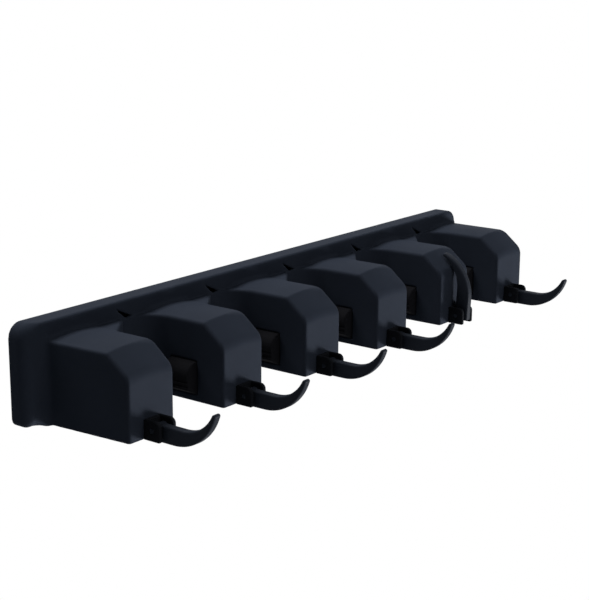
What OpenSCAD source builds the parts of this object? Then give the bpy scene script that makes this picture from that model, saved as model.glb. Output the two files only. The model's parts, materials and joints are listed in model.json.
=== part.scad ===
// Wall rack that grips mop and broom handles in its slots, with folding hooks on its fingers.
// Sizes are in millimetres. The wall is the plane y = 0, the front is towards -y and z is up.
// The origin is the middle of the wall screws, on the wall.

/* [Rack] */
// Number of handle slots
slot_count = 5; // [2:1:6]
// Distance from one slot to the next
pitch = 70; // [66:0.5:80]
// Width of a finger
finger_w = 32; // [30:0.5:36]
// How far a finger stands out from the wall
finger_reach = 65; // [63:0.5:74]
// Height of a finger
finger_h = 45; // [43:0.5:55]
// Depth of the slanted facet between a finger's top and its front
facet_run = 13.6; // [12:0.2:15]
// Height of that facet
facet_drop = 11.1; // [10.5:0.1:12]
// Radius of the bend between the facet and the front
facet_r = 8; // [6:0.5:9]
// Slant of the first finger's outer side, in degrees
first_slant = 3.7; // [1:0.1:6]
// Radius of a finger's upright front edges
finger_edge_r = 1.5; // [1:0.25:3]
// Wall thickness of the front shell
wall_t = 2.5; // [2:0.1:2.8]

/* [Wall plate] */
// Depth of the plate in front of the wall
plate_d = 12; // [11:0.5:15]
// Height of the plate above the finger tops
plate_rise = 8.3; // [8:0.1:12]
// Length of plate beyond the first finger
plate_margin = 17; // [16:0.5:30]
// Radius of the plate's two upper corners
plate_top_r = 8; // [4:0.5:8]
// Corner radius at the bottom of the plate's free end
end_bottom_r = 4; // [3:0.5:8]
// Radius of the plate's upright front edge at its free end
end_front_r = 6; // [4:0.5:8]
// Radius of the plate's top front edge
plate_edge_r = 2; // [1.5:0.25:3]
// Fillet from the finger tops up to the plate
top_fillet_r = 2.5; // [1.5:0.25:4]
// Fillet from the first finger's outer side to the plate
first_fillet_r = 4; // [3:0.5:8]

/* [Back panel] */
// Thickness of the back panel
panel_t = 3; // [2:0.1:4]
// Gap around the panel inside the shell
panel_gap = 0.25; // [0.2:0.05:0.4]
// Radius of a panel screw's shank
panel_screw_r = 1.3; // [1:0.1:1.6]
// Length of a panel screw
panel_screw_len = 8; // [7:0.5:9]
// Radius of a panel screw's head
panel_screw_head_r = 2.6; // [2.2:0.1:3]
// Wall around a panel screw's pilot hole
pilot_wall = 2; // [1.6:0.1:2.4]

/* [Wall screws] */
// Radius of the holes for the wall screws
wall_hole_r = 2.5; // [2:0.1:3]
// Distance between the upper and lower wall screws
wall_hole_rise = 18; // [14:0.5:20]

/* [Grip rollers] */
// Radius of the rubber roller
roller_r = 11.5; // [10:0.25:12]
// Radius of the roller's hard core
core_r = 8; // [6:0.25:9]
// Radius of the steel axle
axle_r = 2; // [1.5:0.1:2.4]
// Running clearance of the core on the axle
axle_fit = 0.06; // [0.03:0.01:0.1]
// Gap between the tyre and its core
tyre_gap = 0.03; // [0.02:0.01:0.1]
// Gap around the axle in its tracks
track_gap = 0.3; // [0.2:0.05:0.5]
// Travel of the axle along its tracks
roller_travel = 14; // [10:0.5:15]
// Slope of the tracks above level
track_slope = 50; // [45:1:60]
// Radius of the axle's heads
axle_head_r = 3.2; // [2.9:0.1:3.6]
// Thickness of the axle's heads
axle_head_t = 1; // [0.6:0.1:1.4]
// Number of grooves round the tyre
tyre_grooves = 5; // [2:1:7]
// Width of a groove in the rubber
groove_w = 1.2; // [0.8:0.1:2]
// Depth of a groove in the rubber
groove_d = 0.6; // [0.3:0.1:1]

/* [Roller cage] */
// Thickness of the cage's cheeks
cage_cheek_t = 2.4; // [2:0.1:3]
// Thickness of the cage's floor
cage_floor_t = 1.8; // [1.4:0.1:2.4]
// Material beside the end of a track
track_edge = 2; // [1.5:0.1:2.5]
// Free room between the cage and the inside of the finger's front
cage_nose_room = 5; // [4:0.5:7]
// Gap around the cage
cage_gap = 0.3; // [0.2:0.05:0.5]
// Gap between the roller and the cage's floor
floor_gap = 1.2; // [0.8:0.1:1.6]
// Gap between the roller's ends and the cheeks
roller_end_gap = 0.6; // [0.4:0.1:1]
// Width of the spine that joins the cage to the back panel
spine_w = 2.5; // [2:0.1:3]
// Height of the spine
spine_h = 9; // [6:0.5:10]
// Distance from the middle of the finger to the spine's outer side
spine_off = 9; // [8.5:0.1:9.5]

/* [Jaw pads] */
// How far a jaw pad stands out from its finger
jaw_out = 7.5; // [6:0.25:9]
// Height of a jaw pad
jaw_h = 18; // [16:0.5:21]
// Height of a jaw pad's lower edge above the finger bottom
jaw_lift = 4; // [4:0.25:5]
// Rise of the sloping underside of a jaw pad
jaw_slope_h = 4; // [2:0.25:6]
// Length of a jaw pad
jaw_len = 18; // [14:0.5:19]
// Distance from the slot's rounded corner to the jaw pad
jaw_setback = 0.5; // [0.5:0.25:3]
// Lip that holds a jaw pad inside the shell
jaw_lip = 1.2; // [0.8:0.1:1.2]
// Thickness of that lip
jaw_lip_t = 1.4; // [1:0.1:1.6]
// Gap around a jaw pad in its window
jaw_gap = 0.15; // [0.1:0.05:0.3]

/* [Slot ends] */
// Length of the slanted web along the side of the finger left of a slot
web_out = 15; // [13:0.5:17]
// Length of that web along the plate
web_w = 16; // [14:0.5:16]
// Radius of the corner between the plate and the finger right of a slot
slot_r = 16; // [12:0.5:16]
// Distance of the pointed end of the slanted slit from the finger left of the slot
slit_tip_out = 14.3; // [13:0.1:16]
// Height of that end above the finger tops
slit_tip_rise = 4.6; // [3.6:0.1:5]
// Distance of the slit's upper root from the finger left of the slot
slit_root_out = 26.3; // [24:0.1:27]
// Drop of that root below the finger tops
slit_root_drop = 1.1; // [0.6:0.1:1.5]
// Distance of the slit's lower root from the finger left of the slot
slit_low_out = 22; // [20:0.1:23]
// Drop of that root below the finger tops
slit_low_drop = 1.9; // [1.6:0.1:2.6]

/* [Hooks] */
// Hook that is folded up, counted from the plate's free end
folded_hook = 5; // [1:1:6]
// Angle of a folded hook above its lowered place
fold_angle = 87; // [85:0.5:90]
// Thickness of a hook's blade
hook_t = 5; // [4:0.25:6]
// Depth of the arm below the pivot
hook_low = 6.2; // [5.5:0.1:6.5]
// Gap between a folded hook and the finger's front
hook_nest_gap = 3.2; // [2.8:0.1:3.8]
// Radius of the hook's inner curve
hook_inner_r = 21; // [20:0.25:22]
// Drop of the folded hook's curve centre below the finger top
hook_nest_drop = 21.7; // [21:0.1:22.5]
// Distance between the starts of the inner and the outer curve
hook_taper = 6; // [5:0.1:6.8]
// Angle below level at which the tip ends
hook_tip_angle = 27; // [24:1:32]
// Radius of the hook's tip
hook_tip_r = 1.1; // [0.9:0.1:1.5]
// Radius of the hook's hub
hook_hub_r = 2.9; // [2.6:0.1:3]
// Height of the heel that stops the lowered hook
hook_heel_h = 4; // [3:0.1:4.2]

/* [Hook brackets] */
// Width of a hook bracket
bracket_w = 12.4; // [11:0.2:15]
// Height of a hook bracket
bracket_h = 10.4; // [9:0.1:12]
// How far a bracket stands out from the finger
bracket_out = 10.3; // [9.5:0.1:12]
// Thickness of a bracket's cheeks
bracket_cheek_t = 2.2; // [1.8:0.1:2.4]
// Thickness of a bracket's back
bracket_back_t = 1.6; // [1.2:0.1:1.8]
// Radius of a cheek's upper front corner
bracket_corner_r = 3; // [2:0.25:4]
// Distance of the pivot from the finger front
pivot_out = 5; // [4.8:0.1:5.6]
// Height of the pivot above the finger bottom
pivot_up = 5.3; // [5:0.1:6]
// Radius of the hinge pin
pin_r = 1.5; // [1.2:0.1:1.8]
// Running clearance of the hook on its pin
pin_fit = 0.06; // [0.03:0.01:0.1]
// Clearance of the pin in the bracket's cheeks
pin_seat_gap = 0.02; // [0.01:0.01:0.03]
// Gap between the hook's hub and the cheeks
hub_gap = 0.3; // [0.2:0.05:0.5]
// Gap between the heel and the bracket's back
heel_gap = 0.4; // [0.3:0.05:0.6]
// Width of the peg that holds a bracket in the finger
peg_w = 6; // [4:0.2:8]
// Height of the peg
peg_h = 4; // [3:0.2:5]
// Length of the peg behind the finger front
peg_len = 3.4; // [3:0.1:4.5]
// Gap around the peg in the finger
peg_gap = 0.15; // [0.1:0.05:0.3]

/* [Hidden] */
$fn = 64;
// Overlap that makes cuts and unions clean
bite = 0.5;
// Points along a curved stretch of an outline
arc_steps = 16;

finger_count = slot_count + 1;
finger_top = finger_h / 2;
finger_bottom = -finger_h / 2;
half_w = finger_w / 2;
inner_half = half_w - wall_t;
inner_floor = finger_bottom + wall_t;
facet_angle = atan2(facet_drop, facet_run);
bend_y = facet_r - finger_reach;
bend_z = finger_top - facet_drop - facet_r * tan(45 - facet_angle / 2);
plate_top = finger_top + plate_rise;
first_left = finger_x(0) - half_w;
free_end = first_left - plate_margin;
last_end = finger_x(finger_count - 1) + half_w;

// Roller, tracks and cage
track_r = axle_r + track_gap;
cage_side = half_w - cage_gap;
cage_bottom = inner_floor + cage_gap;
cage_floor_z = cage_bottom + cage_floor_t;
roller_x = cage_side - track_edge - track_r;
roller_z = cage_floor_z + floor_gap + roller_r;
track_dx = -roller_travel * cos(track_slope);
track_dz = roller_travel * sin(track_slope);
cheek_top = roller_z + track_dz + track_r + track_edge;
window_room = 1.5;
window_top = cheek_top + window_room;
head_room = axle_head_t + 2 * cage_gap;
facet_inside = finger_top - facet_drop - wall_t / cos(facet_angle);
cheek_limit = (cheek_top + cage_gap - facet_inside) / tan(facet_angle) - finger_reach;
lifted_top = roller_z + track_dz + roller_r;
tyre_limit = (lifted_top + floor_gap - facet_inside) / tan(facet_angle) - finger_reach;
cage_front = max(
    wall_t + cage_nose_room - finger_reach,
    cheek_limit,
    tyre_limit - cage_cheek_t - roller_end_gap
);
cage_rear = -plate_d - web_out - head_room;
roller_front = cage_front + cage_cheek_t + roller_end_gap;
roller_rear = cage_rear - cage_cheek_t - roller_end_gap;
roller_len = roller_rear - roller_front;

// Jaw pad
jaw_front = -plate_d - slot_r - jaw_setback - jaw_len;
jaw_bottom = finger_bottom + jaw_lift;
jaw_top = jaw_bottom + jaw_h;

// Hook and bracket
pivot_y = -finger_reach - pivot_out;
pivot_z = finger_bottom + pivot_up;
nest_u = hook_inner_r + pivot_out;
nest_v = finger_top - hook_nest_drop - pivot_z;
curve_u = nest_v * sin(fold_angle) - nest_u * cos(fold_angle);
curve_v = nest_u * sin(fold_angle) + nest_v * cos(fold_angle) - hook_nest_gap;
hook_high = curve_v - hook_inner_r;
tip_u = curve_u + (hook_inner_r + hook_tip_r) * cos(hook_tip_angle);
tip_v = curve_v - (hook_inner_r + hook_tip_r) * sin(hook_tip_angle);
outer_u = curve_u - hook_taper;
outer_run = curve_u + (hook_inner_r + 2 * hook_tip_r) * cos(hook_tip_angle) - outer_u;
outer_rise = curve_v - (hook_inner_r + 2 * hook_tip_r) * sin(hook_tip_angle) + hook_low;
hook_outer_r = (outer_run * outer_run + outer_rise * outer_rise) / (2 * outer_rise);
outer_v = hook_outer_r - hook_low;
hub_w = bracket_w - 2 * bracket_cheek_t - 2 * hub_gap;
heel_u = pivot_out - bracket_back_t - heel_gap;

// Panel screws and wall screws
pilot_gap = 0.05;
pilot_boss_r = panel_screw_r + pilot_wall;
upper_screw_z = plate_top - wall_t - plate_edge_r - pilot_boss_r;
post_web = 1.2;
post_off = 3;
post_z = inner_floor + post_web + pilot_boss_r;
post_front = -panel_screw_len - wall_t;
upper_places = [for (n = [0 : finger_count - 1]) [finger_x(n), upper_screw_z]];
post_places = [for (n = [1 : finger_count - 2]) [finger_x(n) + post_off, post_z]];
screw_places = concat(upper_places, post_places);
wall_boss_r = wall_hole_r + pilot_wall;
wall_places = [for (k = [0, slot_count - 1], side = [-1, 1]) [slot_x(k), side * wall_hole_rise / 2]];

// Middle of finger n and of slot k, counted from zero at the plate's free end
function finger_x(n) = (n - slot_count / 2) * pitch;
function slot_x(k) = (k - (slot_count - 1) / 2) * pitch;

// Points on an arc, from one angle to another
function arc(u, v, r, from, to) = [
    for (i = [0 : arc_steps])
        let (a = from + (to - from) * i / arc_steps)
        [u + r * cos(a), v + r * sin(a)]
];

// Rectangle given by two opposite corners
module area(low, high) {
    translate(low) square(high - low);
}

// Block given by two opposite corners
module block(low, high) {
    translate(low) cube(high - low);
}

// Rod along y from one depth to another
module rod(r, from, to) {
    translate([0, from, 0]) rotate([-90, 0, 0]) cylinder(r = r, h = to - from);
}

// Side view of the rack, wall at the right, made smaller by an inset
module side_view(inset, back) {
    face = inset - plate_d;
    edge_r = plate_edge_r - inset * plate_edge_r / (plate_edge_r + inset);
    low = finger_bottom + inset;
    area([face, low], [back, plate_top - inset - edge_r]);
    area([face + edge_r, low], [back, plate_top - inset]);
    translate([face + edge_r, plate_top - inset - edge_r]) circle(edge_r);
    bend_r = facet_r - inset;
    top = finger_top - inset;
    touch = [bend_y - bend_r * sin(facet_angle), bend_z + bend_r * cos(facet_angle)];
    translate([bend_y, bend_z]) circle(bend_r);
    polygon([
        [inset - finger_reach, low],
        [inset - finger_reach, bend_z],
        touch,
        [touch[0] + (top - touch[1]) / tan(facet_angle), top],
        [back, top],
        [back, low]
    ]);
    difference() {
        area([-plate_d - top_fillet_r, finger_top - inset - bite], [face + bite, finger_top + top_fillet_r]);
        translate([-plate_d - top_fillet_r, finger_top + top_fillet_r]) circle(top_fillet_r + inset);
    }
}

// Plan of a finger's half left of its middle, with a slanted side, made smaller by an inset
module left_half(middle, slant, edge_r, inset, back) {
    side = middle - half_w + inset / cos(slant);
    front = inset - finger_reach;
    corner_y = front + edge_r;
    corner_x = side + edge_r / cos(slant) - (corner_y + finger_reach) * tan(slant);
    area([corner_x, front], [middle, back]);
    translate([corner_x, corner_y]) circle(edge_r);
    touch = [corner_x - edge_r * cos(slant), corner_y - edge_r * sin(slant)];
    polygon([
        touch,
        [middle, touch[1]],
        [middle, back],
        [side - (back + finger_reach) * tan(slant), back]
    ]);
}

// Plan of the fillet between the plate and the first finger's outer side
module first_fillet(inset) {
    y = -plate_d - first_fillet_r;
    x = first_left - (y + finger_reach) * tan(first_slant) - first_fillet_r / cos(first_slant);
    round_r = first_fillet_r + inset;
    difference() {
        area([x, y + round_r * sin(first_slant)], [first_left + half_w, inset - plate_d + bite]);
        translate([x, y]) circle(round_r);
    }
}

// Plan of the slanted web between the plate and a finger's right side
module web(side, inset) {
    face = inset - plate_d;
    slope = norm([web_out, web_w]);
    near = -plate_d - web_out + inset * (slope - web_out) / web_w;
    far = side + web_w + inset * (web_w - slope) / web_out;
    polygon([
        [side - inset - bite, near],
        [side - inset, near],
        [far, face],
        [far, face + bite],
        [side - inset - bite, face + bite]
    ]);
}

// Plan of the rounded corner between the plate and a finger's left side
module slot_corner(side, inset) {
    middle = [side - slot_r, -plate_d - slot_r];
    difference() {
        area(middle, [side + inset + bite, inset - plate_d + bite]);
        translate(middle) circle(slot_r + inset);
    }
}

// View of the rack from above, made smaller by an inset
module plan_view(inset, back) {
    face = inset - plate_d;
    end_r = end_front_r - inset;
    edge_r = finger_edge_r - inset * finger_edge_r / (finger_edge_r + inset);
    area([free_end + inset, face + end_r], [last_end - inset, back]);
    area([free_end + inset + end_r, face], [last_end - inset, back]);
    translate([free_end + inset + end_r, face + end_r]) circle(end_r);
    for (n = [0 : finger_count - 1]) {
        left_half(finger_x(n), n == 0 ? first_slant : 0, edge_r, inset, back);
        translate([2 * finger_x(n), 0]) mirror([1, 0]) left_half(finger_x(n), 0, edge_r, inset, back);
    }
    first_fillet(inset);
    for (n = [0 : slot_count - 1]) {
        web(finger_x(n) + half_w, inset);
        slot_corner(finger_x(n + 1) - half_w, inset);
    }
}

// View of the rack from the front, made smaller by an inset
module front_view(inset) {
    top = plate_top - inset;
    low = finger_bottom + inset;
    left = free_end + inset;
    right = last_end - inset;
    top_r = plate_top_r - inset;
    bottom_r = end_bottom_r - inset;
    area([left, low + bottom_r], [right, top - top_r]);
    area([left + bottom_r, low], [right, top - top_r]);
    area([left + top_r, top - top_r - bite], [right - top_r, top]);
    translate([left + bottom_r, low + bottom_r]) circle(bottom_r);
    for (x = [left + top_r, right - top_r]) translate([x, top - top_r]) circle(top_r);
}

// Outer form of the shell, or its hollow when it has an inset and runs on behind the wall plane
module shell_form(inset, back) {
    intersection() {
        translate([free_end - bite, 0, 0]) rotate([90, 0, 90])
            linear_extrude(last_end - free_end + 2 * bite) side_view(inset, back);
        translate([0, 0, finger_bottom - bite])
            linear_extrude(plate_top - finger_bottom + 2 * bite) plan_view(inset, back);
        translate([0, back, 0]) rotate([90, 0, 0])
            linear_extrude(finger_reach + back + bite) front_view(inset);
    }
}

// Slanted slit through the plate's face at the back of the slot right of finger n
module slit(n) {
    translate([finger_x(n) + half_w, wall_t + bite - plate_d, finger_top]) rotate([90, 0, 0])
        linear_extrude(wall_t + top_fillet_r + 2 * bite) polygon([
            [slit_tip_out, slit_tip_rise],
            [slit_low_out, -slit_low_drop],
            [slit_root_out, -slit_root_drop]
        ]);
}

// Openings for the roller and the jaw pad of the slot that lies right of finger n
module slot_openings(n) {
    side = finger_x(n) + half_w;
    block([side - wall_t - bite, cage_front - head_room, cage_bottom - cage_gap],
        [side + bite, cage_rear + head_room, window_top]);
    next_side = finger_x(n + 1) - half_w;
    block([next_side - bite, jaw_front - jaw_gap, jaw_bottom - jaw_gap],
        [next_side + wall_t + bite, jaw_front + jaw_len + jaw_gap, jaw_top + jaw_gap]);
}

module front_shell() color("#23272f") difference() {
    union() {
        difference() {
            shell_form(0, 0);
            shell_form(wall_t, 1);
        }
        for (p = upper_places)
            translate([p[0], 0, p[1]]) rod(pilot_boss_r, bite - plate_d, -panel_t);
        for (p = wall_places)
            translate([p[0], 0, p[1]]) rod(wall_boss_r, bite - plate_d, -panel_t);
        for (p = post_places) translate([p[0], 0, p[1]]) {
            rod(pilot_boss_r, post_front, -panel_t);
            block([-post_web, post_front, -pilot_boss_r - post_web - bite], [post_web, -panel_t, 0]);
        }
    }
    for (p = screw_places)
        translate([p[0], 0, p[1]]) rod(panel_screw_r + pilot_gap, -panel_screw_len - bite, 0);
    for (p = wall_places)
        translate([p[0], 0, p[1]]) rod(wall_hole_r, -plate_d - web_out, 0);
    for (n = [0 : slot_count - 1]) {
        slit(n);
        slot_openings(n);
    }
    for (n = [0 : finger_count - 1])
        translate([finger_x(n), -finger_reach, pivot_z])
            block([-peg_w / 2 - peg_gap, -bite, -peg_h / 2 - peg_gap],
                [peg_w / 2 + peg_gap, wall_t + bite, peg_h / 2 + peg_gap]);
}

module back_panel() color("#1b1d22") difference() {
    rotate([90, 0, 0]) linear_extrude(panel_t) front_view(wall_t + panel_gap);
    for (p = wall_places) translate([p[0], 0, p[1]]) rod(wall_hole_r, -panel_t - bite, bite);
    for (p = screw_places) translate([p[0], 0, p[1]]) {
        rod(panel_screw_r + pilot_gap, -panel_t - bite, bite);
        screw_head(pilot_gap);
    }
}

// Sunk head of a panel screw, flush with the wall plane, made larger by a gap
module screw_head(gap) {
    sink = panel_screw_head_r - panel_screw_r;
    rotate([90, 0, 0]) cylinder(r1 = panel_screw_head_r + gap, r2 = panel_screw_r + gap, h = sink);
}

module panel_screws() color("#8d9096") for (p = screw_places)
    translate([p[0], 0, p[1]]) difference() {
        union() {
            screw_head(0);
            rod(panel_screw_r, -panel_screw_len, 0);
        }
        for (turn = [0, 90]) rotate([0, turn, 0])
            block([-panel_screw_r, -panel_screw_r / 2, -panel_screw_r / 5],
                [panel_screw_r, bite, panel_screw_r / 5]);
    }

// Track for the axle through one cheek, from its lower to its upper end
module track(from, to) {
    translate([roller_x, 0, roller_z]) {
        rod(track_r, from, to);
        translate([track_dx, 0, track_dz]) rod(track_r, from, to);
        rotate([0, track_slope, 0]) block([-roller_travel, from, -track_r], [0, to, track_r]);
    }
}

module roller_cage(n) color("#17191d") translate([finger_x(n), 0, 0]) difference() {
    union() {
        for (rear = [cage_front + cage_cheek_t, cage_rear])
            block([-spine_off, rear - cage_cheek_t, cage_bottom], [cage_side, rear, cheek_top]);
        block([-spine_off, cage_front, cage_bottom], [cage_side, cage_rear, cage_floor_z]);
        block([-spine_off, cage_front, cage_bottom], [spine_w - spine_off, -panel_t, cage_bottom + spine_h]);
    }
    track(cage_front - bite, cage_rear + bite);
}

module roller_axle(n) color("#b9bcc2") translate([finger_x(n) + roller_x, 0, roller_z]) {
    rod(axle_r, cage_front - cage_gap, cage_rear + cage_gap);
    rod(axle_head_r, cage_front - cage_gap - axle_head_t, cage_front - cage_gap);
    rod(axle_head_r, cage_rear + cage_gap, cage_rear + cage_gap + axle_head_t);
}

module roller_core(n) color("#3a3d43") translate([finger_x(n) + roller_x, 0, roller_z]) difference() {
    rod(core_r, roller_front, roller_rear);
    rod(axle_r + axle_fit, roller_front - bite, roller_rear + bite);
}

module roller_tyre(n) color("#101114") translate([finger_x(n) + roller_x, 0, roller_z]) difference() {
    rod(roller_r, roller_front, roller_rear);
    rod(core_r + tyre_gap, roller_front - bite, roller_rear + bite);
    for (g = [1 : tyre_grooves])
        translate([0, roller_front + roller_len * g / (tyre_grooves + 1) - groove_w / 2, 0]) difference() {
            rod(roller_r + bite, 0, groove_w);
            rod(roller_r - groove_d, -bite, groove_w + bite);
        }
}

// Outline of a jaw pad seen from the front, drawn from the finger's left side
module jaw_outline() {
    shoulder = jaw_top - jaw_out;
    area([-jaw_out, jaw_bottom + jaw_slope_h], [0, shoulder]);
    intersection() {
        translate([0, shoulder]) circle(jaw_out);
        area([-jaw_out, shoulder - bite], [0, jaw_top]);
    }
    polygon([[0, jaw_bottom], [0, shoulder], [-jaw_out, jaw_bottom + jaw_slope_h]]);
}

module jaw_pad(n) color("#0f1012") translate([finger_x(n + 1) - half_w, jaw_front, 0]) difference() {
    union() {
        translate([0, jaw_len, 0]) rotate([90, 0, 0]) linear_extrude(jaw_len) jaw_outline();
        block([-bite, 0, jaw_bottom], [wall_t + jaw_lip_t, jaw_len, jaw_top]);
        block([wall_t + jaw_gap, -jaw_lip, jaw_bottom - jaw_lip],
            [wall_t + jaw_gap + jaw_lip_t, jaw_len + jaw_lip, jaw_top + jaw_lip]);
    }
    for (z = [jaw_bottom + jaw_slope_h + groove_w : 2 * groove_w : jaw_top - jaw_out])
        block([-jaw_out - bite, -bite, z], [groove_d - jaw_out, jaw_len + bite, z + groove_w]);
}

// Side view of a bracket's cheek, drawn from the pivot with the wall at the right
module cheek_outline() {
    low = -pivot_up;
    top = bracket_h - pivot_up;
    front = pivot_out - bracket_out;
    area([front, low], [pivot_out, top - bracket_corner_r]);
    area([front + bracket_corner_r, low], [pivot_out, top]);
    translate([front + bracket_corner_r, top - bracket_corner_r]) circle(bracket_corner_r);
}

module hook_bracket(n) color("#15171b") translate([finger_x(n), pivot_y, pivot_z]) difference() {
    union() {
        for (left = [-bracket_w / 2, bracket_w / 2 - bracket_cheek_t])
            translate([left, 0, 0]) rotate([90, 0, 90]) linear_extrude(bracket_cheek_t) cheek_outline();
        block([-bracket_w / 2, pivot_out - bracket_back_t, -pivot_up],
            [bracket_w / 2, pivot_out, bracket_h - pivot_up]);
        block([-peg_w / 2, pivot_out - bite, -peg_h / 2], [peg_w / 2, pivot_out + peg_len, peg_h / 2]);
    }
    rotate([0, 90, 0]) cylinder(r = pin_r + pin_seat_gap, h = bracket_w + 2 * bite, center = true);
}

module hook_pin(n) color("#a9acb2") translate([finger_x(n), pivot_y, pivot_z])
    rotate([0, 90, 0]) cylinder(r = pin_r, h = bracket_w, center = true);

// Side view of a lowered hook, drawn from its pivot with the tip at the right
module hook_outline() {
    tip_turn = atan2(outer_rise - hook_outer_r, outer_run);
    polygon(concat(
        [[-heel_u, hook_heel_h - hook_low], [-heel_u, -hook_low]],
        arc(outer_u, outer_v, hook_outer_r, -90, tip_turn),
        arc(curve_u, curve_v, hook_inner_r, -hook_tip_angle, -90),
        [[0, hook_high], [0, hook_heel_h - hook_low]]
    ));
    translate([tip_u, tip_v]) circle(hook_tip_r);
    circle(hook_hub_r);
}

module hook(n) color("#121317") translate([finger_x(n), pivot_y, pivot_z])
    rotate([n + 1 == folded_hook ? -fold_angle : 0, 0, 0]) difference() {
        union() {
            rotate([90, 0, 90]) linear_extrude(hook_t, center = true) mirror([1, 0]) hook_outline();
            rotate([0, 90, 0]) cylinder(r = hook_hub_r, h = hub_w, center = true);
        }
        rotate([0, 90, 0]) cylinder(r = pin_r + pin_fit, h = hub_w + 2 * bite, center = true);
    }

front_shell();
back_panel();
panel_screws();
for (n = [0 : slot_count - 1]) {
    roller_cage(n);
    roller_axle(n);
    roller_core(n);
    roller_tyre(n);
    jaw_pad(n);
}
for (n = [0 : finger_count - 1]) {
    hook_bracket(n);
    hook_pin(n);
    hook(n);
}
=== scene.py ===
import json
import math

import bmesh
import bpy
import numpy as np
from mathutils import Matrix, Vector


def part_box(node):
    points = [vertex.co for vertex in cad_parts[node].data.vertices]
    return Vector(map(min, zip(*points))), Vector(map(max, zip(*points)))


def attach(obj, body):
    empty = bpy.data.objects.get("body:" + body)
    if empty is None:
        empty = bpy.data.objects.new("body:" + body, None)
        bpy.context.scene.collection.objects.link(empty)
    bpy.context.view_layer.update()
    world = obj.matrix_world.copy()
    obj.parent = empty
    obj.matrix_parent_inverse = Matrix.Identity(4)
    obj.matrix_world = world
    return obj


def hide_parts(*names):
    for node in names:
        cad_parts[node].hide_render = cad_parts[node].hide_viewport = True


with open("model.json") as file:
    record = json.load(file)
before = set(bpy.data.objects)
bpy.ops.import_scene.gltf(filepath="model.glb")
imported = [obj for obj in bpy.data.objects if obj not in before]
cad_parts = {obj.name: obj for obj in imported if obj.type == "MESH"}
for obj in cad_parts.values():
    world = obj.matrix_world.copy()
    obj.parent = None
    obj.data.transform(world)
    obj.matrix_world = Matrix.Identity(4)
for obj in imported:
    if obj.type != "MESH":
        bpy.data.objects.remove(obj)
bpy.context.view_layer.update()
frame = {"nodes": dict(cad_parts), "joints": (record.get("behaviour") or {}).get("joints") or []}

# Sizes are in millimetres, in the frame's own axes: wall at y = 0, front towards -y, z up.
MM = 0.001


def box_mm(node):
    """Lowest and highest corner of a CAD node."""
    return [np.array(corner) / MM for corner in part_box(node)]


# Places that the frame gives
JOINTS = {joint["name"]: joint for joint in frame["joints"]}
HOOK_COUNT = sum(name.endswith("_fold") for name in JOINTS)
SLOT_COUNT = HOOK_COUNT - 1
PIVOTS = [np.array(JOINTS[f"hook_{n + 1}_fold"]["pos_m"]) / MM for n in range(HOOK_COUNT)]
PIVOT_Z = PIVOTS[0][2]
FINGER_X = [pivot[0] for pivot in PIVOTS]
PITCH = FINGER_X[1] - FINGER_X[0]
SHELL_LOW, SHELL_HIGH = box_mm("front_shell")
TYRE_LOW, TYRE_HIGH = box_mm("roller_tyre_1")
CORE_LOW, CORE_HIGH = box_mm("roller_core_1")
AXLE_LOW, AXLE_HIGH = box_mm("roller_axle_1")
CAGE_LOW, CAGE_HIGH = box_mm("roller_cage_1")
PIN_LOW, PIN_HIGH = box_mm("hook_pin_1")
PANEL_FRONT = box_mm("back_panel")[0][1]

# Shell
FINGER_W = 32.0
FINGER_H = 45.0
FACET_RUN = 13.6
FACET_DROP = 11.1
FACET_R = 8.0
CREASE_R = 0.4
CREASE_END_R = 2.2
CROWN = 1.2
FIRST_SLANT = math.radians(3.7)
FINGER_EDGE_R = 1.5
FOOT_R = 0.7
WALL_T = 2.5
PLATE_D = 12.0
PLATE_TOP_R = 8.0
END_BOTTOM_R = 4.0
LAST_BOTTOM_R = 1.0
END_FRONT_R = 6.0
PLATE_EDGE_R = 2.0
SLOT_FILLET_R = 0.4
FIRST_FILLET_R = 4.0
CUT_EDGE_R = 0.4
CUT_ROOM = 1.5
RIM_R = 0.6

# Fillet from a finger's top to the plate: it grows over its rise and fades across the finger's sides
TOP_FILLET_R = 2.5
TOP_FILLET_RISE = 1.0
TOP_FILLET_IN = 2.0
TOP_FILLET_OUT = 6.0

HALF_W = FINGER_W / 2
SLOT_W = PITCH - FINGER_W
FINGER_TOP = FINGER_H / 2
FINGER_REACH = -SHELL_LOW[1]
FREE_END = SHELL_LOW[0]
LAST_END = SHELL_HIGH[0]
PLATE_TOP = SHELL_HIGH[2]
FACET_TURN = math.atan2(FACET_DROP, FACET_RUN)
BEND_Y = FACET_R - FINGER_REACH
BEND_Z = FINGER_TOP - FACET_DROP - FACET_R * math.tan(math.pi / 4 - FACET_TURN / 2)

# Inner end of each slot: web on its left and rounded corner on its right
WEB_OUT = 15.0
WEB_W = 19.5
WEB_R = 1.0
SLOT_R = 16.0

# Slit in the plate: corners seen from the finger's right side and top, and its cut into the web
SLIT = [(14.3, 4.6), (22, -1.9), (26.3, -1.1)]
SLIT_OUT = 3.0

# Wall screw holes and their bosses behind the plate's face
WALL_HOLE_R = 2.5
WALL_HOLE_RISE = 18.0
WALL_HOLE_X = (FINGER_X[-1] - FINGER_X[0] - PITCH) / 2
WALL_BOSS_R = 4.5
WALL_BOSS_SINK = 1.0

# Window for the roller and its cage in a finger's right side
HEAD_ROOM = 0.3
WINDOW_ROOM = 1.5
WINDOW_FRONT = AXLE_LOW[1] - HEAD_ROOM
WINDOW_REAR = AXLE_HIGH[1] + HEAD_ROOM
WINDOW_LOW = CAGE_LOW[2] - HEAD_ROOM
WINDOW_TOP = CAGE_HIGH[2] + WINDOW_ROOM

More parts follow.
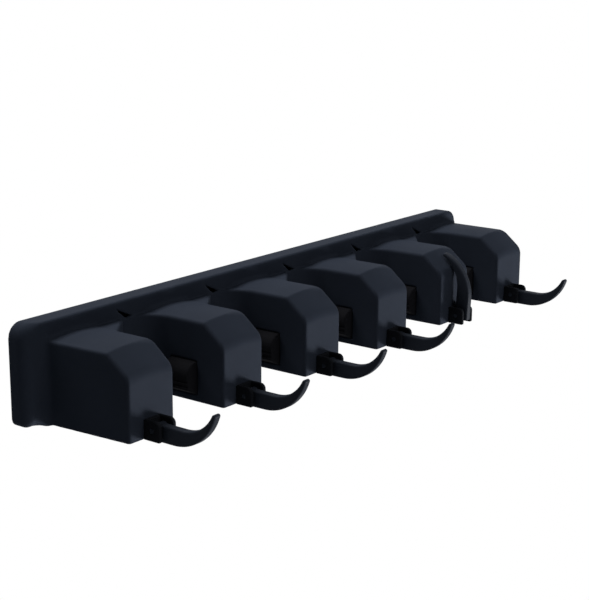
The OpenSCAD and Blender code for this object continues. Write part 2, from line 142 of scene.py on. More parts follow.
# Jaw pad in the left side of the next finger
JAW_OUT = 7.5
JAW_H = 18.0
JAW_LIFT = 4.0
JAW_SLOPE_H = 4.0
JAW_LEN = 18.0
JAW_SETBACK = 0.5
JAW_LIP = 1.2
JAW_LIP_T = 1.4
JAW_GAP = 0.15
JAW_EDGE_R = 0.9
JAW_GROOVE_R = 0.6
JAW_GROOVE_EDGE_R = 0.2
JAW_GROOVE_START = 1.8
JAW_GROOVE_STEP = 2.4
JAW_BOTTOM = JAW_LIFT - FINGER_TOP
JAW_TOP = JAW_BOTTOM + JAW_H
JAW_MIDDLE = -PLATE_D - SLOT_R - JAW_SETBACK - JAW_LEN / 2
JAW_SHOULDER = JAW_TOP - JAW_OUT
JAW_BACK = WALL_T + JAW_GAP + JAW_LIP_T

# Hook, drawn from its pivot: u runs out from the wall and v up
FOLD = 87.0
FOLDED_HOOK = 5
HOOK_T = 5.0
HOOK_LOW = 6.2
NEST_GAP = 3.2
HOOK_INNER_R = 21.0
NEST_DROP = 21.7
HOOK_TAPER = 6.0
TIP_ANGLE = 27.0
TIP_R = 1.1
HUB_R = 2.9
HUB_W = 7.4
HUB_EDGE_R = 0.3
HEEL_U = 3.0
HEEL_H = 4.0
HOOK_EDGE_R = 1.0

# Hinge pin of the hook
PIN_R = (PIN_HIGH[2] - PIN_LOW[2]) / 2
PIN_FIT = 0.06
PIN_SEAT_GAP = 0.02
PIN_CHAMFER = 0.4

# Bracket, drawn from the pivot, with a peg in the finger's front
BRACKET_W = PIN_HIGH[0] - PIN_LOW[0]
BRACKET_H = 10.4
BRACKET_OUT = 10.3
BRACKET_CHEEK_T = 2.2
BRACKET_BACK_T = 1.6
BRACKET_CORNER_R = 3.0
BRACKET_FOOT_R = 0.8
BRACKET_BACK_R = 0.3
BRACKET_EDGE_R = 0.5
PIVOT_OUT = -PIVOTS[0][1] - FINGER_REACH
PIVOT_UP = PIVOT_Z + FINGER_TOP
PEG_W = 6.0
PEG_H = 4.0
PEG_LEN = 3.4
PEG_ROOT = 1.0
PEG_GAP = 0.15

# Roller and axle, drawn about the axle
TYRE_R = (TYRE_HIGH[0] - TYRE_LOW[0]) / 2
CORE_R = (CORE_HIGH[0] - CORE_LOW[0]) / 2
HEAD_R = (AXLE_HIGH[0] - AXLE_LOW[0]) / 2
AXLE_R = 2.0
AXLE_FIT = 0.06
HEAD_T = 1.0
TYRE_GAP = 0.03
TYRE_GROOVES = 5
GROOVE_W = 1.2
GROOVE_D = 0.6
TYRE_EDGE_R = 0.8
TYRE_EDGE_STEPS = 4
CORE_RIM = 1.2
CORE_DISH = 1.5
CORE_HUB_R = 4.0
CORE_CHAMFER = 0.2
ROLLER_LEN = TYRE_HIGH[1] - TYRE_LOW[1]
ROLLER_END = ROLLER_LEN / 2
ROLLER_MIDDLE = (TYRE_LOW + TYRE_HIGH) / 2
AXLE_MIDDLE = (AXLE_LOW + AXLE_HIGH) / 2
AXLE_END = (AXLE_HIGH[1] - AXLE_LOW[1]) / 2

# Softened edges of the CAD nodes that stay
CAGE_EDGE = 0.3
PANEL_EDGE = 0.4
SCREW_EDGE = 0.08

# Grids of the skins: steps, room round the shell, and zones along x where its grid is fine
SHELL_STEP = 0.75
SHELL_COARSE = 1.5
SHELL_FINE = 0.7
SHELL_ROOM = 1.9
END_ROOM = 1.3
END_ZONE = 9.0
SIDE_ZONE = 5.0
WEB_ZONE = 28.0
EDGE_ZONE = 1.0
HOOK_STEP = 0.5
BRACKET_STEP = 0.35
JAW_STEP = 0.45


# Distance functions, negative inside
def round_and(a, b, r):
    """What is in both forms, with an edge of radius r."""
    inner = np.minimum(np.maximum(a + r, b + r), 0)
    return inner + np.hypot(np.maximum(a + r, 0), np.maximum(b + r, 0)) - r


def fillet_or(a, b, r):
    """What is in either form, with a fillet of radius r."""
    return np.maximum(np.minimum(a, b), r) - np.hypot(np.maximum(r - a, 0), np.maximum(r - b, 0))


def cut(form, tool, r=CUT_EDGE_R):
    """A form without what is in the tool, with an edge of radius r."""
    return round_and(form, -tool, r)


def ramp(value, start, end):
    """Smooth step from 0 at start to 1 at end."""
    t = np.clip((value - start) / (end - start), 0, 1)
    return t * t * (3 - 2 * t)


def round_box_2d(u, v, low, high, radii):
    """Rectangle with radii at low u low v, high u low v, low u high v and high u high v."""
    mid_u, mid_v = (low[0] + high[0]) / 2, (low[1] + high[1]) / 2
    lower = np.where(u < mid_u, radii[0], radii[1])
    upper = np.where(u < mid_u, radii[2], radii[3])
    r = np.where(v < mid_v, lower, upper)
    a = np.abs(u - mid_u) - (high[0] - low[0]) / 2 + r
    b = np.abs(v - mid_v) - (high[1] - low[1]) / 2 + r
    return np.minimum(np.maximum(a, b), 0) + np.hypot(np.maximum(a, 0), np.maximum(b, 0)) - r


def slab(value, low, high):
    """Layer between two parallel planes."""
    return np.abs(value - (low + high) / 2) - (high - low) / 2


def polygon_2d(u, v, points):
    """Closed outline given by its corners."""
    best = np.full(u.shape, np.inf)
    inside = np.zeros(u.shape, bool)
    for (u0, v0), (u1, v1) in zip(points, points[1:] + points[:1]):
        du, dv = u1 - u0, v1 - v0
        t = np.clip(((u - u0) * du + (v - v0) * dv) / (du * du + dv * dv), 0, 1)
        best = np.minimum(best, np.hypot(u - u0 - t * du, v - v0 - t * dv))
        if dv:
            inside ^= ((v0 <= v) != (v1 <= v)) & (u < u0 + (v - v0) / dv * du)
    return np.where(inside, -best, best)


def box_3d(x, y, z, low, high):
    """Block with sharp edges."""
    plan = np.maximum(slab(x, low[0], high[0]), slab(y, low[1], high[1]))
    return np.maximum(plan, slab(z, low[2], high[2]))


def arc(u, v, r, start, end, steps=24):
    """Points on an arc from one angle to another."""
    turns = [math.radians(start + (end - start) * i / steps) for i in range(steps + 1)]
    return [(u + r * math.cos(a), v + r * math.sin(a)) for a in turns]


# Skin of a distance function
def skin(name, distance, grid, passes=4, probe=0.02, least_slope=0.25):
    """Mesh of the zero surface of distance(x, y, z), with one point in each grid cell it crosses."""
    xs, ys, zs = (np.asarray(line, float) for line in grid)
    values = distance(*np.meshgrid(xs, ys, zs, indexing="ij"))
    inside = values < 0
    cells = tuple(n - 1 for n in inside.shape)
    corner = [(i, j, k) for i in (0, 1) for j in (0, 1) for k in (0, 1)]
    view = {c: tuple(slice(c[a], c[a] + cells[a]) for a in range(3)) for c in corner}
    count = sum(inside[view[c]].astype(np.int8) for c in corner)
    where = np.argwhere((count > 0) & (count < 8))
    number = np.full(cells, -1)
    number[tuple(where.T)] = np.arange(len(where))

    # First guess: the mean of the crossings on the cell's edges
    lines = (xs, ys, zs)
    total = np.zeros((len(where), 3))
    hits = np.zeros(len(where))
    for c in corner:
        for axis in range(3):
            if c[axis]:
                continue
            start = where + np.array(c)
            end = start.copy()
            end[:, axis] += 1
            d0 = values[tuple(start.T)]
            d1 = values[tuple(end.T)]
            cross = (d0 < 0) != (d1 < 0)
            t = np.where(cross, d0 / np.where(cross, d0 - d1, 1), 0)
            p0 = np.stack([lines[a][start[:, a]] for a in range(3)], 1)
            p1 = np.stack([lines[a][end[:, a]] for a in range(3)], 1)
            total += np.where(cross[:, None], p0 + t[:, None] * (p1 - p0), 0)
            hits += cross
    points = total / hits[:, None]

    # Then each point is pulled onto the surface, inside its own cell
    low = np.stack([lines[a][where[:, a]] for a in range(3)], 1)
    high = np.stack([lines[a][where[:, a] + 1] for a in range(3)], 1)
    for _ in range(passes):
        d = distance(*points.T)
        slope = np.stack([
            (distance(*(points + probe * axis).T) - distance(*(points - probe * axis).T)) / (2 * probe)
            for axis in np.eye(3)
        ], 1)
        size = np.maximum((slope ** 2).sum(1), least_slope)
        points = np.clip(points - (d / size)[:, None] * slope, low, high)

    # One face for each grid edge that the surface crosses
    faces = []
    for axis in range(3):
        b, c = (axis + 1) % 3, (axis + 2) % 3
        near = [slice(1, -1)] * 3
        near[axis] = slice(0, -1)
        far = list(near)
        far[axis] = slice(1, None)
        enters = inside[tuple(near)]
        edge = np.argwhere(enters != inside[tuple(far)])
        turn = enters[tuple(edge.T)]
        base = edge.copy()
        base[:, b] += 1
        base[:, c] += 1
        ring = []
        for shift_b, shift_c in ((-1, -1), (0, -1), (0, 0), (-1, 0)):
            cell = base.copy()
            cell[:, b] += shift_b
            cell[:, c] += shift_c
            ring.append(number[tuple(cell.T)])
        quads = np.stack(ring, 1)
        quads[~turn] = quads[~turn][:, ::-1]
        faces.append(quads)
    mesh = bpy.data.meshes.new(name)
    mesh.from_pydata((points * MM).tolist(), [], np.concatenate(faces).tolist())
    mesh.shade_smooth()
    return mesh


def grid_line(low, high, coarse, fine, spots):
    """Grid places from low to high: fine steps in and just before each spot, coarse ones elsewhere."""
    places = [low]
    while places[-1] < high:
        here = places[-1]
        near = any(start - fine <= here <= end for start, end in spots)
        step = fine if near else coarse
        ahead = [start - fine for start, _ in spots if start - fine > here]
        if not near and ahead:
            step = min(step, max(min(ahead) - here, fine))
        places.append(here + step)
    return np.array(places)


def even_grid(low, high, step, before=2.3, after=2.5):
    """Grid with one step that holds a block, with room before and after it in steps."""
    return [np.arange(a - before * step, b + after * step, step) for a, b in zip(low, high)]


def lathe(name, profile, axis, segments=72, weld=1e-7, sharp=math.radians(35)):
    """Mesh of an outline of (radius, place) points turned about the X or Y axis."""
    ring = np.array(profile, float)
    turn = np.linspace(0, 2 * math.pi, segments, endpoint=False)
    along = np.repeat(ring[:, 1], segments)
    across = np.outer(ring[:, 0], np.cos(turn)).ravel()
    upright = np.outer(ring[:, 0], np.sin(turn)).ravel()
    points = np.stack([along, across, upright] if axis == "X" else [across, along, upright], 1)
    faces = []
    for i in range(len(ring)):
        j = (i + 1) % len(ring)
        for s in range(segments):
            t = (s + 1) % segments
            faces.append((i * segments + s, i * segments + t, j * segments + t, j * segments + s))
    mesh = bpy.data.meshes.new(name)
    mesh.from_pydata((points * MM).tolist(), [], faces)
    work = bmesh.new()
    work.from_mesh(mesh)
    bmesh.ops.remove_doubles(work, verts=work.verts, dist=weld)
    bmesh.ops.recalc_face_normals(work, faces=work.faces)
    work.to_mesh(mesh)
    work.free()
    mesh.shade_smooth()
    mesh.set_sharp_from_angle(angle=sharp)
    return mesh


def add(name, mesh, body, nodes, material, place=(0, 0, 0), turn=0.0):
    """Object that rides on a body and stands for CAD nodes, after a turn about X and a move."""
    mesh = mesh.copy()
    turned = Matrix.Rotation(math.radians(turn), 4, "X")
    mesh.transform(Matrix.Translation(Vector(place) * MM) @ turned)
    obj = bpy.data.objects.new(name, mesh)
    bpy.context.scene.collection.objects.link(obj)
    obj.data.materials.clear()
    obj.data.materials.append(material)
    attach(obj, body)
    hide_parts(*nodes)
    return obj


def dress(node, material, edge):
    """CAD node that stays, with its material and softened edges."""
    obj = frame["nodes"][node]
    obj.data.materials.clear()
    obj.data.materials.append(material)
    bevel = obj.modifiers.new("edge", "BEVEL")
    bevel.width = edge * MM
    bevel.segments = 2
    bevel.limit_method = "ANGLE"


# Materials
MOTTLE_SCALE = 60
GLOSS_SCALE = 35
GLOSS_SPREAD = 0.06
GRAIN_DEPTH = 0.1 * MM


def surface(name, color, spread, roughness, grain, grain_scale,
            stretch=(1, 1, 1), specular=0.5, metallic=0.0):
    """Procedural surface with mottled colour, uneven gloss and fine grain."""
    mat = bpy.data.materials.new(name)
    mat.use_nodes = True
    nodes, links = mat.node_tree.nodes, mat.node_tree.links
    shader = nodes["Principled BSDF"]
    shader.inputs["Metallic"].default_value = metallic
    shader.inputs["Specular IOR Level"].default_value = specular
    coords = nodes.new("ShaderNodeTexCoord")
    mapping = nodes.new("ShaderNodeMapping")
    mapping.inputs["Scale"].default_value = stretch
    links.new(coords.outputs["Object"], mapping.inputs["Vector"])

    def noise(scale, detail):
        """Cloudy pattern on the object's own coordinates."""
        node = nodes.new("ShaderNodeTexNoise")
        node.inputs["Scale"].default_value = scale
        node.inputs["Detail"].default_value = detail
        links.new(mapping.outputs["Vector"], node.inputs["Vector"])
        return node.outputs["Fac"]

    def span(value, low, high):
        """Pattern stretched to run from low to high."""
        node = nodes.new("ShaderNodeMapRange")
        node.inputs["To Min"].default_value = low
        node.inputs["To Max"].default_value = high
        links.new(value, node.inputs["Value"])
        return node.outputs["Result"]

    mix = nodes.new("ShaderNodeMix")
    mix.data_type = "RGBA"
    mix.inputs["A"].default_value = (*[c * (1 - spread) for c in color], 1)
    mix.inputs["B"].default_value = (*[c * (1 + spread) for c in color], 1)
    links.new(noise(MOTTLE_SCALE, 4), mix.inputs["Factor"])
    links.new(mix.outputs["Result"], shader.inputs["Base Color"])
    gloss = span(noise(GLOSS_SCALE, 3), roughness - GLOSS_SPREAD, roughness + GLOSS_SPREAD)
    links.new(gloss, shader.inputs["Roughness"])
    bump = nodes.new("ShaderNodeBump")
    bump.inputs["Strength"].default_value = grain
    bump.inputs["Distance"].default_value = GRAIN_DEPTH
    links.new(noise(grain_scale, 2), bump.inputs["Height"])
    links.new(bump.outputs["Normal"], shader.inputs["Normal"])
    return mat


SHELL_PLASTIC = surface("shell_plastic", (0.028, 0.034, 0.048), spread=0.1, roughness=0.55,
                        grain=0.2, grain_scale=2500, specular=0.006)
PANEL_PLASTIC = surface("panel_plastic", (0.012, 0.013, 0.016), spread=0.12, roughness=0.6,
                        grain=0.35, grain_scale=1800, specular=0.006)
HOOK_PLASTIC = surface("hook_plastic", (0.022, 0.026, 0.035), spread=0.1, roughness=0.45,
                       grain=0.15, grain_scale=3000, specular=0.02)
CORE_PLASTIC = surface("core_plastic", (0.06, 0.062, 0.066), spread=0.08, roughness=0.5,
                       grain=0.2, grain_scale=2500, specular=0.3)
RUBBER = surface("rubber", (0.012, 0.012, 0.014), spread=0.15, roughness=0.75,
                 grain=0.4, grain_scale=3500, specular=0.006)
STEEL = surface("steel", (0.55, 0.56, 0.58), spread=0.06, roughness=0.3,
                grain=0.12, grain_scale=2200, stretch=(1, 0.06, 1), metallic=1.0)


# Front shell
def finger_across(x):
    """Distance from the middle of the nearest finger, to its right."""
    n = np.clip(np.round((x - FINGER_X[0]) / PITCH), 0, HOOK_COUNT - 1)
    return x - FINGER_X[0] - n * PITCH


def slot_across(x, overlap=0.1):
    """Distance from the finger side on a slot's left, to the right; it starts inside the finger."""
    n = np.clip(np.floor((x - FINGER_X[0] - HALF_W) / PITCH + overlap), 0, SLOT_COUNT - 1)
    return x - FINGER_X[0] - HALF_W - n * PITCH


def finger_profile(u, y, z):
    """Side view of a finger: front, bend, slanted facet and a crease that softens to the right."""
    front = -y - FINGER_REACH
    along = (y - BEND_Y) * math.cos(FACET_TURN) + (z - BEND_Z) * math.sin(FACET_TURN)
    facet = (BEND_Y - y) * math.sin(FACET_TURN) + (z - BEND_Z) * math.cos(FACET_TURN) - FACET_R
    bend = np.hypot(y - BEND_Y, z - BEND_Z) - FACET_R
    nose = np.where((z > BEND_Z) & (along < 0), bend, np.maximum(front, facet))
    crease = CREASE_R + (CREASE_END_R - CREASE_R) * ramp(u, 0, HALF_W)
    return round_and(nose, z - FINGER_TOP, crease)


def finger_plan(x, y):
    """Plan of the nearest finger with the web and the rounded corner at its root."""
    u = finger_across(x)
    first = x < FINGER_X[0]
    slant = np.where(first, (y + FINGER_REACH) * math.tan(FIRST_SLANT), 0)
    left = np.where(first, -u - HALF_W - slant, fillet_or(-u - HALF_W, -y - PLATE_D, SLOT_R))
    web = ((u - HALF_W) * WEB_OUT - (y + PLATE_D + WEB_OUT) * WEB_W) / math.hypot(WEB_OUT, WEB_W)
    right = np.where(x > FINGER_X[-1], u - HALF_W, fillet_or(u - HALF_W, web, WEB_R))
    return np.maximum(left, right)


def rack_form(x, y, z):
    """Plate and fingers, without an end at the back."""
    u = finger_across(x)
    crown = CROWN * np.minimum(np.abs(u) / HALF_W, 1) ** 2
    finger = round_and(finger_profile(u, y, z + crown), finger_plan(x, y), FINGER_EDGE_R)
    finger = round_and(finger, -z - FINGER_TOP, FOOT_R)
    outline = round_box_2d(x, z, (FREE_END, -FINGER_TOP), (LAST_END, PLATE_TOP),
                           (END_BOTTOM_R, LAST_BOTTOM_R, PLATE_TOP_R, PLATE_TOP_R))
    left = 1 - ramp(x, FREE_END + END_FRONT_R, FREE_END + 2 * END_FRONT_R)
    plate = round_and(outline, -y - PLATE_D, PLATE_EDGE_R + (END_FRONT_R - PLATE_EDGE_R) * left)
    over = ramp(z, FINGER_TOP - TOP_FILLET_RISE, FINGER_TOP)
    off = ramp(np.abs(u), HALF_W - TOP_FILLET_IN, HALF_W + TOP_FILLET_OUT)
    beside = np.where(x < FINGER_X[0], FIRST_FILLET_R, SLOT_FILLET_R)
    fillet = beside + (TOP_FILLET_R - beside) * over * (1 - off)
    return round_and(fillet_or(plate, finger, fillet), x - LAST_END, RIM_R)


def shell_form(x, y, z):
    """Hollow shell with the bosses of the wall screws and all its openings."""
    u = slot_across(x)
    across = finger_across(x)
    form = rack_form(x, y, z)
    shell = np.maximum(round_and(form, y, RIM_R), -(form + WALL_T))
    from_hole = np.hypot(np.abs(x) - WALL_HOLE_X, np.abs(z) - WALL_HOLE_RISE / 2)
    boss = np.maximum(from_hole - WALL_BOSS_R, slab(y, WALL_BOSS_SINK - PLATE_D, PANEL_FRONT))
    shell = np.minimum(shell, boss)
    window = box_3d(u, y, z, (-WALL_T - CUT_ROOM, WINDOW_FRONT, WINDOW_LOW),
                    (CUT_ROOM, WINDOW_REAR, WINDOW_TOP))
    jaw_half = JAW_LEN / 2 + JAW_GAP
    jaw = box_3d(u, y, z, (SLOT_W - CUT_ROOM, JAW_MIDDLE - jaw_half, JAW_BOTTOM - JAW_GAP),
                 (SLOT_W + WALL_T + CUT_ROOM, JAW_MIDDLE + jaw_half, JAW_TOP + JAW_GAP))
    peg_side, peg_rise = PEG_W / 2 + PEG_GAP, PEG_H / 2 + PEG_GAP
    peg = box_3d(across, y, z, (-peg_side, -FINGER_REACH - CUT_ROOM, PIVOT_Z - peg_rise),
                 (peg_side, -FINGER_REACH + WALL_T + CUT_ROOM, PIVOT_Z + peg_rise))
    slit_depth = slab(y, -PLATE_D - SLIT_OUT, WALL_T + CUT_ROOM - PLATE_D)
    slit = np.maximum(polygon_2d(u, z - FINGER_TOP, SLIT), slit_depth)
    for opening in (window, jaw, peg, slit, from_hole - WALL_HOLE_R):
        shell = cut(shell, opening)
    return shell


def shell_grid():
    """Grid of the shell, fine along x at its ends, finger sides, slot ends and peg windows."""
    spots = [(FREE_END - EDGE_ZONE, FREE_END + END_ZONE), (LAST_END - END_ZONE, LAST_END + EDGE_ZONE)]
    for middle in FINGER_X:
        left, right = middle - HALF_W, middle + HALF_W
        spots += [(left - SIDE_ZONE, left + SIDE_ZONE), (right - SIDE_ZONE, right + WEB_ZONE)]
        for edge in (middle - PEG_W / 2, middle + PEG_W / 2):
            spots.append((edge - EDGE_ZONE, edge + EDGE_ZONE))
    xs = grid_line(FREE_END - END_ROOM, LAST_END + END_ROOM, SHELL_COARSE, SHELL_FINE, spots)
    ys = np.arange(-FINGER_REACH - SHELL_ROOM, SHELL_ROOM, SHELL_STEP)
    zs = np.arange(-FINGER_TOP - SHELL_ROOM, PLATE_TOP + SHELL_ROOM, SHELL_STEP)
    return xs, ys, zs


add("shell_skin", skin("shell_skin", shell_form, shell_grid()), "frame",
    ["front_shell"], SHELL_PLASTIC)


# Hooks
def hook_outline():
    """Side view of the hook's blade and the middle of its tip."""
    nest_u = HOOK_INNER_R + PIVOT_OUT
    nest_v = FINGER_TOP - NEST_DROP - PIVOT_Z
    fold = math.radians(FOLD)
    inner_u = nest_v * math.sin(fold) - nest_u * math.cos(fold)
    inner_v = nest_u * math.sin(fold) + nest_v * math.cos(fold) - NEST_GAP
    lean = math.radians(TIP_ANGLE)
    outer_u = inner_u - HOOK_TAPER
    run = inner_u + (HOOK_INNER_R + 2 * TIP_R) * math.cos(lean) - outer_u
    rise = inner_v - (HOOK_INNER_R + 2 * TIP_R) * math.sin(lean) + HOOK_LOW
    outer_r = (run * run + rise * rise) / (2 * rise)
    end = math.degrees(math.atan2(rise - outer_r, run))
    points = [(-HEEL_U, HEEL_H - HOOK_LOW), (-HEEL_U, -HOOK_LOW)]
    points += arc(outer_u, outer_r - HOOK_LOW, outer_r, -90, end)
    points += arc(inner_u, inner_v, HOOK_INNER_R, -TIP_ANGLE, -90)
    points += [(0, inner_v - HOOK_INNER_R), (0, HEEL_H - HOOK_LOW)]
    tip_reach = HOOK_INNER_R + TIP_R
    return points, (inner_u + tip_reach * math.cos(lean), inner_v - tip_reach * math.sin(lean))


HOOK_POINTS, HOOK_TIP = hook_outline()


def hook_form(x, y, z):
    """Hook with a wider hub and the bore for its pin."""
    u, v = -y, z
    tip = np.hypot(u - HOOK_TIP[0], v - HOOK_TIP[1]) - TIP_R
    blade = np.minimum(polygon_2d(u, v, HOOK_POINTS), tip)
    arm = round_and(blade, np.abs(x) - HOOK_T / 2, HOOK_EDGE_R)
    hub = round_and(np.hypot(u, v) - HUB_R, np.abs(x) - HUB_W / 2, HUB_EDGE_R)
    return np.maximum(np.minimum(arm, hub), PIN_R + PIN_FIT - np.hypot(u, v))


hook_low = (-HUB_W / 2, -HOOK_TIP[0] - TIP_R, -HOOK_LOW)
hook_high = (HUB_W / 2, HEEL_U, HOOK_TIP[1] + TIP_R)
hook_mesh = skin("hook_skin", hook_form, even_grid(hook_low, hook_high, HOOK_STEP))
for n, pivot in enumerate(PIVOTS, 1):
    add(f"hook_skin_{n}", hook_mesh, f"hook_{n}", [f"hook_{n}"], HOOK_PLASTIC,
        pivot, -FOLD if n == FOLDED_HOOK else 0)


# Hook brackets and their pins
def bracket_form(x, y, z):
    """Fork with two cheeks, a back and a peg, bored for the pin."""
    low, top, front = -PIVOT_UP, BRACKET_H - PIVOT_UP, PIVOT_OUT - BRACKET_OUT
    profile = round_box_2d(y, z, (front, low), (PIVOT_OUT, top),
                           (BRACKET_FOOT_R, BRACKET_BACK_R, BRACKET_CORNER_R, BRACKET_BACK_R))
    body = round_and(profile, np.abs(x) - BRACKET_W / 2, BRACKET_EDGE_R)
    between = np.abs(x) - BRACKET_W / 2 + BRACKET_CHEEK_T
    fork = cut(body, np.maximum(between, y - PIVOT_OUT + BRACKET_BACK_T))
    peg = box_3d(x, y, z, (-PEG_W / 2, PIVOT_OUT - PEG_ROOT, -PEG_H / 2),
                 (PEG_W / 2, PIVOT_OUT + PEG_LEN, PEG_H / 2))
    return np.maximum(np.minimum(fork, peg), PIN_R - np.hypot(y, z))


def pin_profile():
    """Outline of the pin with chamfered ends."""
    end = BRACKET_W / 2
    half = [(PIN_R - PIN_SEAT_GAP, end - PIN_CHAMFER), (PIN_R - PIN_CHAMFER, end), (0, end)]
    return [(r, -place) for r, place in reversed(half)] + half


bracket_low = (-BRACKET_W / 2, PIVOT_OUT - BRACKET_OUT, -PIVOT_UP)
bracket_high = (BRACKET_W / 2, PIVOT_OUT + PEG_LEN, BRACKET_H - PIVOT_UP)
bracket_mesh = skin("bracket_skin", bracket_form, even_grid(bracket_low, bracket_high, BRACKET_STEP))
pin_mesh = lathe("pin_skin", pin_profile(), "X", 36)
for n, pivot in enumerate(PIVOTS, 1):
    add(f"bracket_skin_{n}", bracket_mesh, "frame", [f"hook_bracket_{n}"],
        PANEL_PLASTIC, pivot)
    add(f"pin_skin_{n}", pin_mesh, "frame", [f"hook_pin_{n}"], HOOK_PLASTIC, pivot)


# Jaw pads, drawn from the left side of their finger
JAW_POINTS = [(JAW_BACK, JAW_BOTTOM), (0, JAW_BOTTOM), (-JAW_OUT, JAW_BOTTOM + JAW_SLOPE_H)]
JAW_POINTS += arc(0, JAW_SHOULDER, JAW_OUT, 180, 90) + [(JAW_BACK, JAW_TOP)]


def jaw_form(x, y, z):
    """Pad with a round top and grooves along its face, and the lip that holds it in the wall."""
    pad = round_and(polygon_2d(x, z, JAW_POINTS), np.abs(y) - JAW_LEN / 2, JAW_EDGE_R)
    first = JAW_BOTTOM + JAW_SLOPE_H + JAW_GROOVE_START
    for middle in np.arange(first, JAW_SHOULDER, JAW_GROOVE_STEP):
        pad = cut(pad, np.hypot(x + JAW_OUT, z - middle) - JAW_GROOVE_R, JAW_GROOVE_EDGE_R)
    lip = box_3d(x, y, z, (WALL_T + JAW_GAP, -JAW_LEN / 2 - JAW_LIP, JAW_BOTTOM - JAW_LIP),
                 (JAW_BACK, JAW_LEN / 2 + JAW_LIP, JAW_TOP + JAW_LIP))
    return np.minimum(pad, lip)


jaw_low = (-JAW_OUT, -JAW_LEN / 2 - JAW_LIP, JAW_BOTTOM - JAW_LIP)
jaw_high = (JAW_BACK, JAW_LEN / 2 + JAW_LIP, JAW_TOP + JAW_LIP)
jaw_mesh = skin("jaw_skin", jaw_form, even_grid(jaw_low, jaw_high, JAW_STEP))
for n in range(1, SLOT_COUNT + 1):
    add(f"jaw_skin_{n}", jaw_mesh, "frame", [f"jaw_pad_{n}"], RUBBER,
        (FINGER_X[n] - HALF_W, JAW_MIDDLE, 0))


# Rollers and their axles
def tyre_edge(middle, start, end):
    """Rounded edge of the tyre about a place along it."""
    edge = arc(middle, TYRE_R - TYRE_EDGE_R, TYRE_EDGE_R, start, end, TYRE_EDGE_STEPS)
    return [(r, place) for place, r in edge]


def tyre_profile():
    """Outline of the grooved rubber tyre."""
    bore = CORE_R + TYRE_GAP
    points = [(bore, -ROLLER_END)]
    points += tyre_edge(TYRE_EDGE_R - ROLLER_END, 180, 90)
    for g in range(1, TYRE_GROOVES + 1):
        middle = ROLLER_LEN * g / (TYRE_GROOVES + 1) - ROLLER_END
        points += [(TYRE_R, middle - GROOVE_W / 2), (TYRE_R - GROOVE_D, middle - GROOVE_W / 4)]
        points += [(TYRE_R - GROOVE_D, middle + GROOVE_W / 4), (TYRE_R, middle + GROOVE_W / 2)]
    points += tyre_edge(ROLLER_END - TYRE_EDGE_R, 90, 0)
    return points + [(bore, ROLLER_END)]


def core_profile():
    """Outline of the core, dished between hub and rim at both ends."""
    end, rim_r, floor = ROLLER_END, CORE_R - CORE_RIM, ROLLER_END - CORE_DISH
    half = [(AXLE_R + AXLE_FIT, end), (CORE_HUB_R - CORE_CHAMFER, end)]
    half += [(CORE_HUB_R, end - CORE_CHAMFER), (CORE_HUB_R, floor), (rim_r, floor)]
    half += [(rim_r, end - CORE_CHAMFER), (rim_r + CORE_CHAMFER, end), (CORE_R, end)]
    return half + [(r, -place) for r, place in reversed(half)]


def axle_profile():
    """Outline of the axle with its two heads."""
    head = AXLE_END - HEAD_T
    half = [(AXLE_R, head), (HEAD_R, head), (HEAD_R, AXLE_END - HEAD_T / 2)]
    half += [(HEAD_R - HEAD_T / 2, AXLE_END), (0, AXLE_END)]
    return [(r, -place) for r, place in reversed(half)] + half


tyre_mesh = lathe("tyre_skin", tyre_profile(), "Y")
core_mesh = lathe("core_skin", core_profile(), "Y")
axle_mesh = lathe("axle_skin", axle_profile(), "Y", 48)
for n in range(1, SLOT_COUNT + 1):
    step = Vector(((n - 1) * PITCH, 0, 0))
    axle_place = Vector(AXLE_MIDDLE) + step
    roller_place = Vector(ROLLER_MIDDLE) + step
    add(f"axle_skin_{n}", axle_mesh, f"axle_{n}", [f"roller_axle_{n}"], STEEL, axle_place)
    add(f"core_skin_{n}", core_mesh, f"roller_{n}", [f"roller_core_{n}"],
        CORE_PLASTIC, roller_place)
    add(f"tyre_skin_{n}", tyre_mesh, f"roller_{n}", [f"roller_tyre_{n}"], RUBBER,
        roller_place)
    dress(f"roller_cage_{n}", PANEL_PLASTIC, CAGE_EDGE)

# Back panel and its screws
dress("back_panel", PANEL_PLASTIC, PANEL_EDGE)
dress("panel_screws", STEEL, SCREW_EDGE)

# Stage and lamps, in metres
FLOOR_Z = -1.4
FLOOR_HALF = 3.0
FLOOR_COLOR = (0.8, 0.8, 0.8, 1)
SKY_COLOR = (0.85, 0.92, 1, 1)
SKY_STRENGTH = 0.1
WHITE = (1, 1, 1, 1)


def white_background(tree, lit):
    """Background that the camera, mirrors and glass see as white, while lit lights the object."""
    nodes, links = tree.nodes, tree.links
    path = nodes.new("ShaderNodeLightPath")
    seen = path.outputs["Is Camera Ray"]
    for ray in ("Is Glossy Ray", "Is Transmission Ray"):
        either = nodes.new("ShaderNodeMath")
        either.operation = "MAXIMUM"
        links.new(seen, either.inputs[0])
        links.new(path.outputs[ray], either.inputs[1])
        seen = either.outputs[0]
    mix = nodes.new("ShaderNodeMixShader")
    glow = "ShaderNodeEmission" if nodes.get("Material Output") else "ShaderNodeBackground"
    white = nodes.new(glow)
    white.inputs["Color"].default_value = WHITE
    links.new(seen, mix.inputs["Fac"])
    links.new(lit, mix.inputs[1])
    links.new(white.outputs[0], mix.inputs[2])
    output = nodes.get("Material Output") or nodes.get("World Output")
    links.new(mix.outputs[0], output.inputs["Surface"])


world = bpy.data.worlds.new("studio")
bpy.context.scene.world = world
world.use_nodes = True
sky = world.node_tree.nodes["Background"]
sky.inputs["Color"].default_value = SKY_COLOR
sky.inputs["Strength"].default_value = SKY_STRENGTH
white_background(world.node_tree, sky.outputs[0])

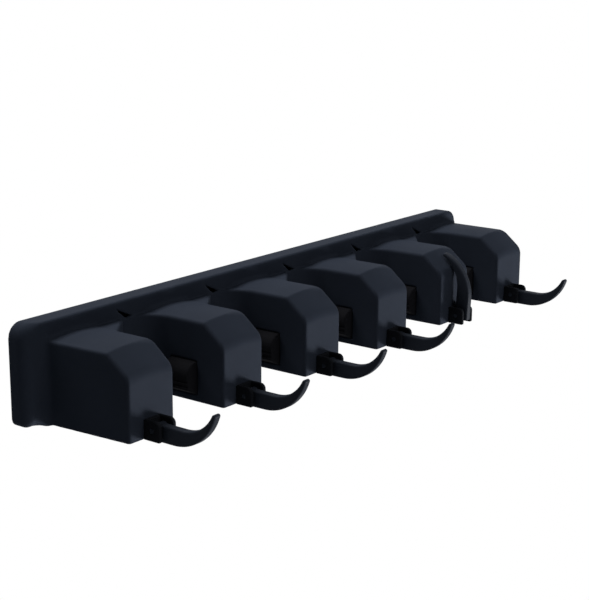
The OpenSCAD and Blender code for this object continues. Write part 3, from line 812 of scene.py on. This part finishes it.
floor_mat = bpy.data.materials.new("floor")
floor_mat.use_nodes = True
floor_shader = floor_mat.node_tree.nodes["Principled BSDF"]
floor_shader.inputs["Base Color"].default_value = FLOOR_COLOR
white_background(floor_mat.node_tree, floor_shader.outputs[0])
corners = ((-1, -1), (1, -1), (1, 1), (-1, 1))
floor_points = [(x * FLOOR_HALF, y * FLOOR_HALF, FLOOR_Z) for x, y in corners]
floor_mesh = bpy.data.meshes.new("floor")
floor_mesh.from_pydata(floor_points, [], [(0, 1, 2, 3)])
floor_mesh.materials.append(floor_mat)
floor = bpy.data.objects.new("floor", floor_mesh)
bpy.context.scene.collection.objects.link(floor)


def lamp(name, place, aim, size, power):
    """Soft rectangular lamp at a place, turned to a point."""
    data = bpy.data.lights.new(name, "AREA")
    data.shape = "RECTANGLE"
    data.size, data.size_y = size
    data.energy = power
    obj = bpy.data.objects.new(name, data)
    obj.location = place
    obj.rotation_euler = (Vector(aim) - Vector(place)).to_track_quat("-Z", "Y").to_euler()
    bpy.context.scene.collection.objects.link(obj)


lamp("top_light", place=(0, 0.49, 0.95), aim=(0, -0.03, 0), size=(1.0, 0.5), power=11.2)
lamp("front_light", place=(2.05, -1.93, -1.08), aim=(0, -0.04, 0), size=(0.6, 0.6), power=84)
lamp("fill_light", place=(0, -2.6, 1.5), aim=(0, -0.04, 0), size=(1.0, 1.0), power=15)

# Camera, fitted to the photograph; the sensor's width spans the photograph's longer side
AZIMUTH = math.radians(-52.409)
ELEVATION = math.radians(14.197)
ROLL = math.radians(0.232)
CAMERA_PLACE = (-664.92, -529.70, 216.72)
FOCAL_PX = 1447.36
PHOTO_H = 600
SENSOR_W = 36
camera_data = bpy.data.cameras.new("camera")
camera_data.sensor_width = SENSOR_W
camera_data.lens = FOCAL_PX * SENSOR_W / PHOTO_H
level = Vector((math.sin(AZIMUTH), -math.cos(AZIMUTH), 0))
back = level * math.cos(ELEVATION) + Vector((0, 0, math.sin(ELEVATION)))
right = Vector((math.cos(AZIMUTH), math.sin(AZIMUTH), 0))
up = back.cross(right)
side = right * math.cos(ROLL) + up * math.sin(ROLL)
rise = up * math.cos(ROLL) - right * math.sin(ROLL)
camera = bpy.data.objects.new("camera", camera_data)
camera.matrix_world = Matrix((side, rise, back)).transposed().to_4x4()
camera.location = Vector(CAMERA_PLACE) * MM
bpy.context.scene.collection.objects.link(camera)
bpy.context.scene.camera = camera
bpy.context.scene.view_settings.view_transform = "Standard"
